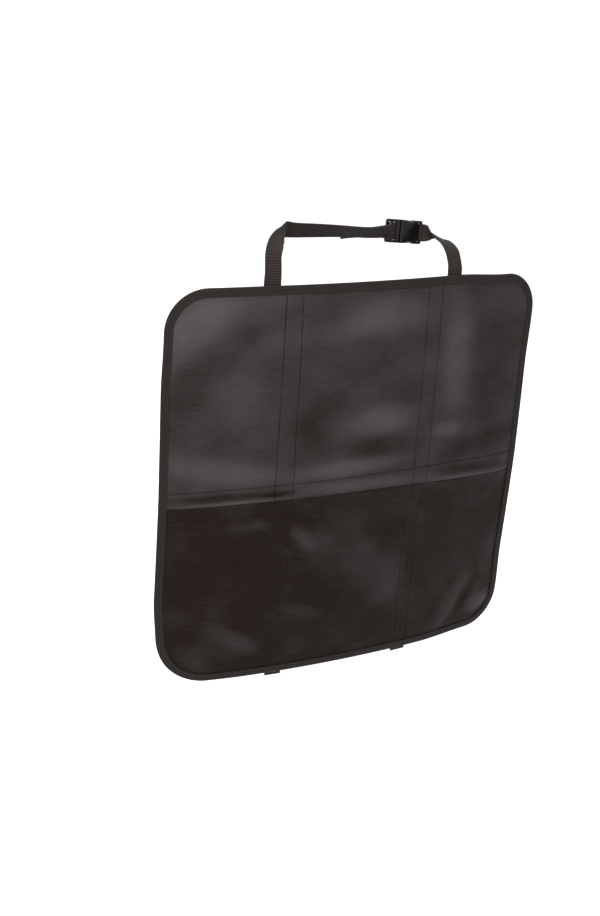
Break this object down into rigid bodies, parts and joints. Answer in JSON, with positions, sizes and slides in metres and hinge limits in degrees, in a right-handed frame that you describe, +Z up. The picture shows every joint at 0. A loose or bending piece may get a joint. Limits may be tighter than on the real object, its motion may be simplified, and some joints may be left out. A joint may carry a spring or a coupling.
{
  "type": "car seat back kick mat",
  "caption": "Square kick mat for the back of a car seat: creased dark coated cloth with a bound edge, webbing straps and a side-release buckle.",
  "frame": {"origin": "midway between the two headrest posts, at the height where the strap passes behind them", "axes": "+Z up the mat, -Y out of the mat's visible face, +X to the right as the mat's visible face is looked at; the seat is on the +Y side"},
  "size_m": [0.4812, 0.0877, 0.5425],
  "materials": {
    "coated_cloth": "satin",
    "binding_tape": "matte",
    "strap_webbing": "matte",
    "buckle_moulding": "gloss"
  },
  "bodies": {
    "root": {"panel": "coated_cloth", "edge_binding": "binding_tape", "left_strap": "strap_webbing", "right_strap": "strap_webbing", "lower_loop_left": "strap_webbing", "lower_loop_right": "strap_webbing", "buckle_plug": "buckle_moulding", "buckle_socket": "buckle_moulding"}
  },
  "joints": []
}
